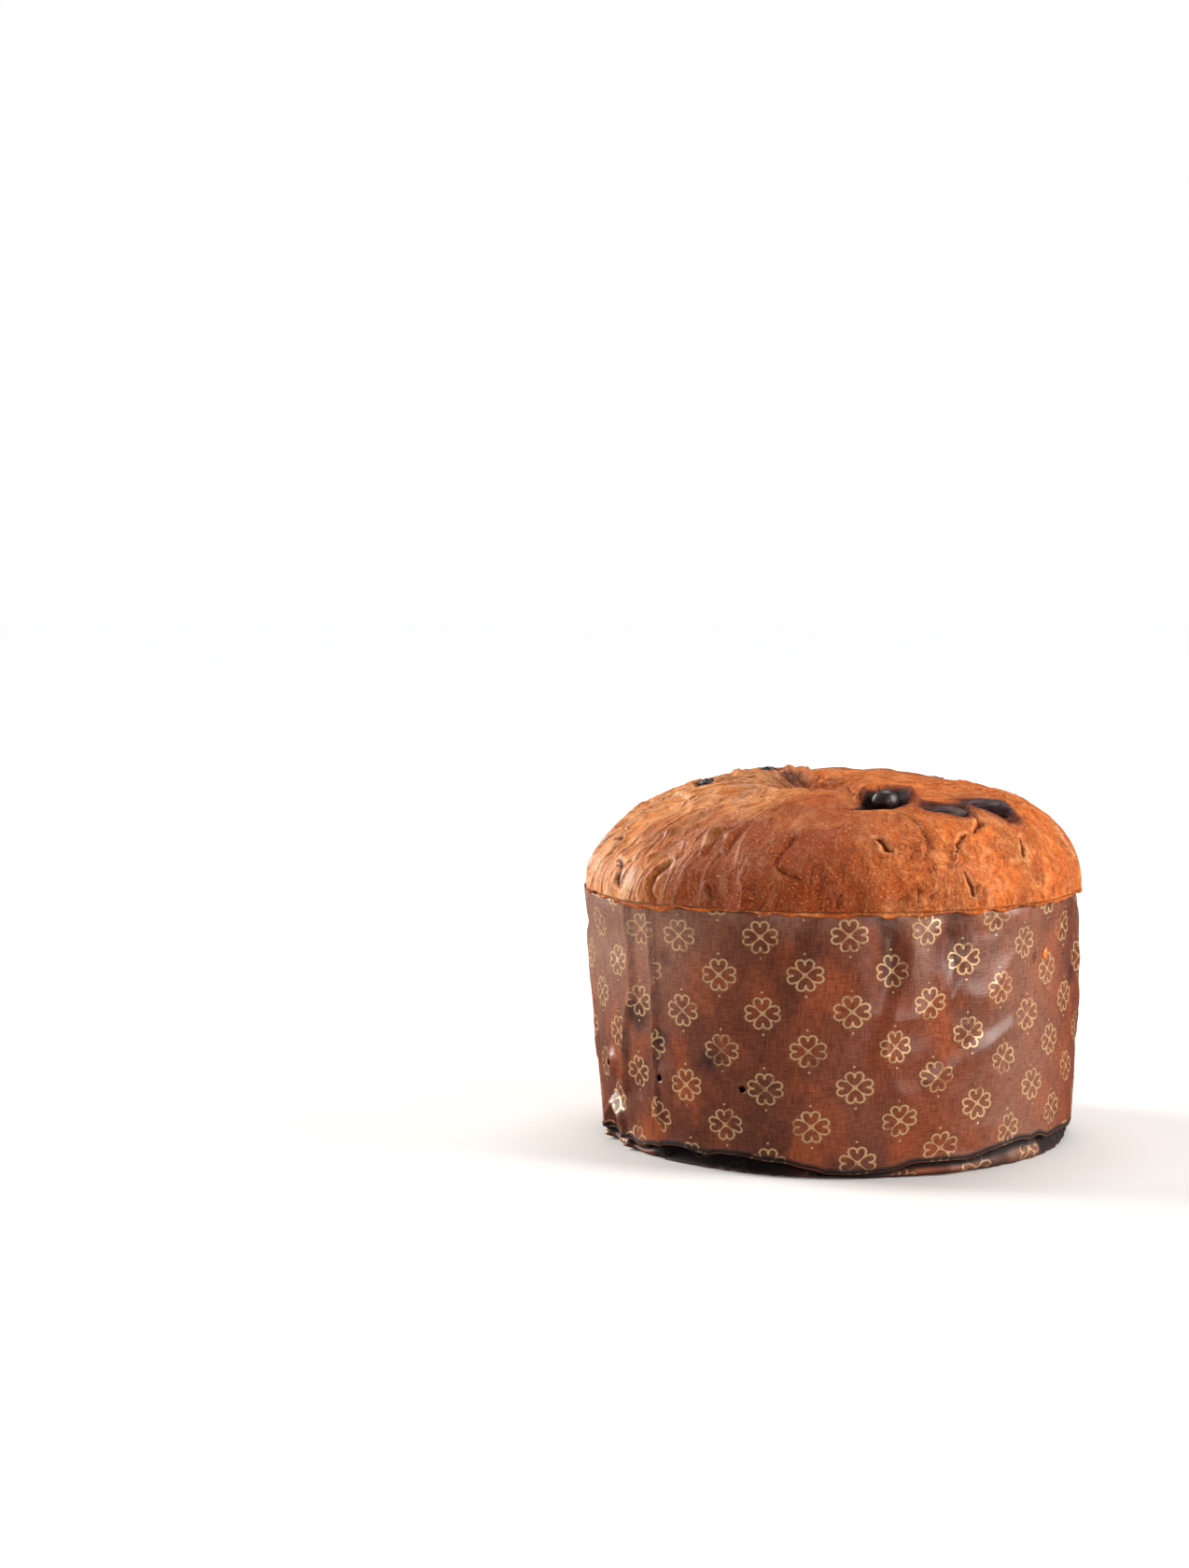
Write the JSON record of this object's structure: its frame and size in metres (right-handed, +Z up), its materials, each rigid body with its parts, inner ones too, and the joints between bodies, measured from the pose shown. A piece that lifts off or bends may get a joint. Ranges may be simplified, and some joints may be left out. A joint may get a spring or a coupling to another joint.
{
  "type": "panettone",
  "caption": "Tall domed sweet bread with raisins showing in its browned crust, standing in the printed paper mould that it was baked in.",
  "frame": {"origin": "on the surface that the mould stands on, under the middle of the bounding box", "axes": "+Z up through the dome, -Y towards the front, where the torn hollow round one raisin faces, +X to the right of it"},
  "size_m": [0.1731, 0.1682, 0.1272],
  "materials": {
    "crust": "satin",
    "printed_paper": "satin",
    "base_paper": "satin",
    "raisin_skin": "gloss",
    "candied_peel": "gloss"
  },
  "bodies": {
    "root": {"loaf": "crust", "mould_wall": "printed_paper", "mould_base": "base_paper", "raisin_front": "raisin_skin", "raisin_rear": "raisin_skin", "raisin_left": "raisin_skin", "raisin_right_large": "raisin_skin", "raisin_right_small": "raisin_skin", "raisin_back_right": "raisin_skin", "raisin_back_left": "raisin_skin", "peel_crumb": "candied_peel"}
  },
  "joints": []
}
